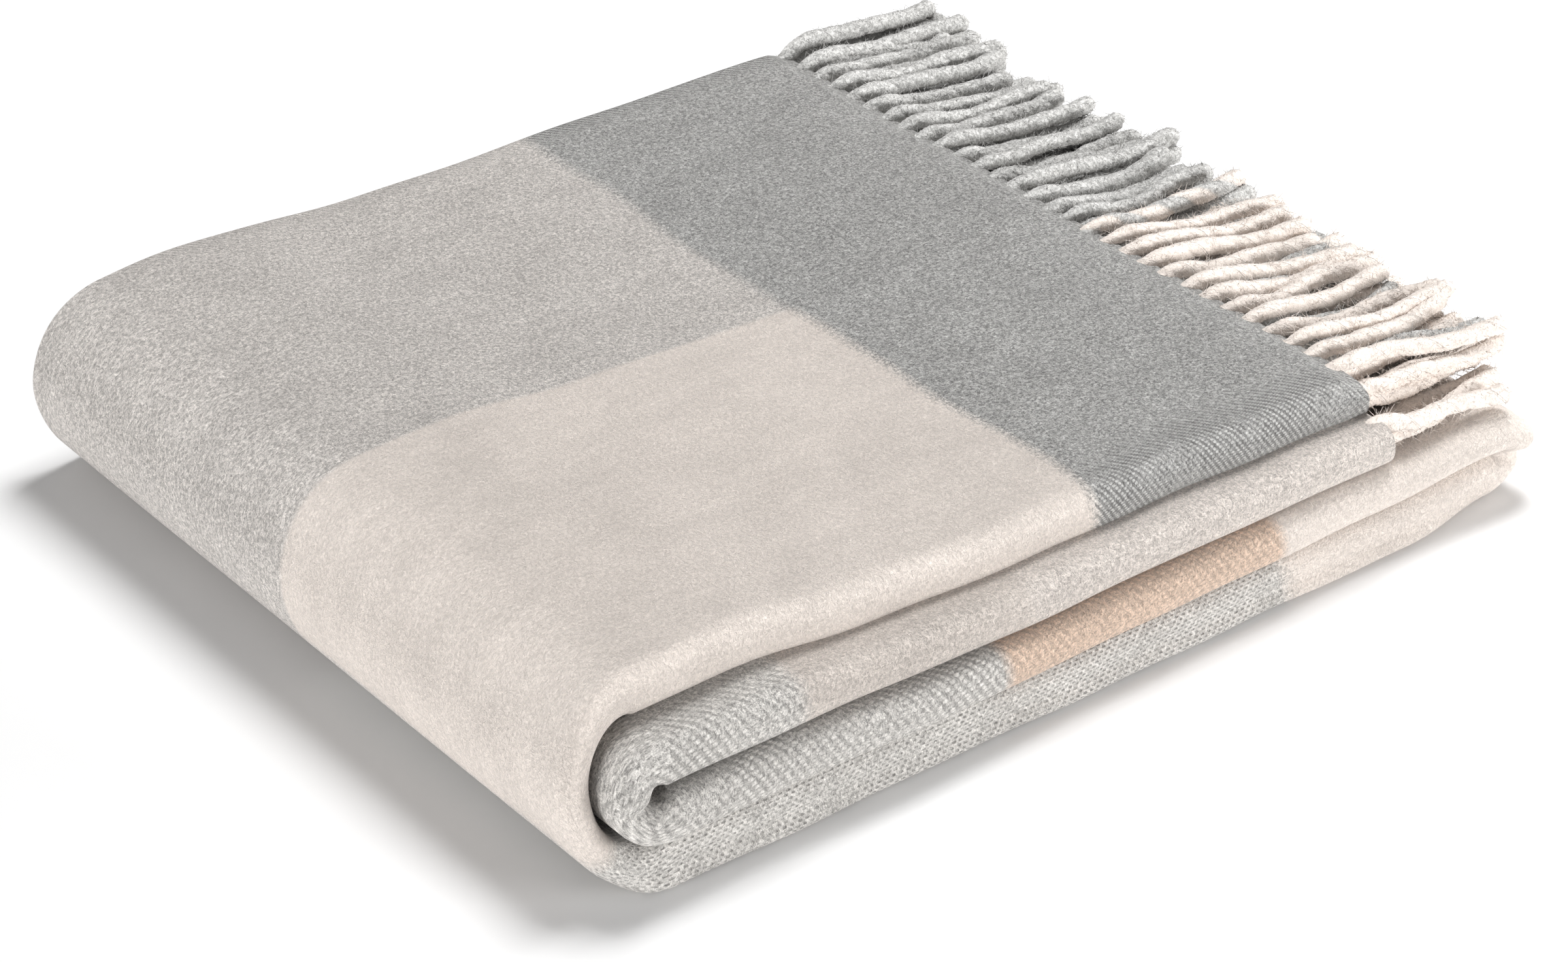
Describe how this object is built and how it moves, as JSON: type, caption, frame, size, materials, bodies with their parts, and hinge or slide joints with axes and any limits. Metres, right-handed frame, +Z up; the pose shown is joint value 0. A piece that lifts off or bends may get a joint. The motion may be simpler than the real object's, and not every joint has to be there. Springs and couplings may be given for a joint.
{
  "type": "folded throw blanket",
  "caption": "Folded woollen throw in large soft colour blocks, with twisted tassels at both short ends; the upper half opens about the last fold.",
  "frame": {"origin": "bottom centre of the folded throw's bounding box, fringe included, on the surface that it lies on", "axes": "+X along the folded strips from the rounded left folds to the fringed ends, +Y to the back edge, +Z up"},
  "size_m": [0.51, 0.43, 0.08],
  "materials": {
    "wool_cloth": "brushed wool twill in blocks of cream, light grey, dark grey and tan",
    "wool_fringe": "twisted wool yarn, cream and light grey"
  },
  "bodies": {
    "lower_half": {"bottom_quarter": "wool_cloth", "third_quarter": "wool_cloth", "right_fold": "wool_cloth", "outer_left_fold": "wool_cloth", "inner_left_fold": "wool_cloth"},
    "upper_half": {"top_quarter": "wool_cloth", "second_quarter": "wool_cloth", "second_fringe_middle_third": "wool_fringe", "second_fringe_back_third": "wool_fringe", "second_fringe_front_third": "wool_fringe", "top_fringe_front_third": "wool_fringe", "top_fringe_back_third": "wool_fringe", "top_fringe_middle_third": "wool_fringe"}
  },
  "joints": [
    {"name": "unfold", "type": "hinge", "parent": "lower_half", "child": "upper_half", "pos_m": [-0.215, 0, 0.04], "axis": [0, -1, 0], "range_deg": [0, 179.5], "deforming": ["outer_left_fold", "inner_left_fold"]}
  ]
}
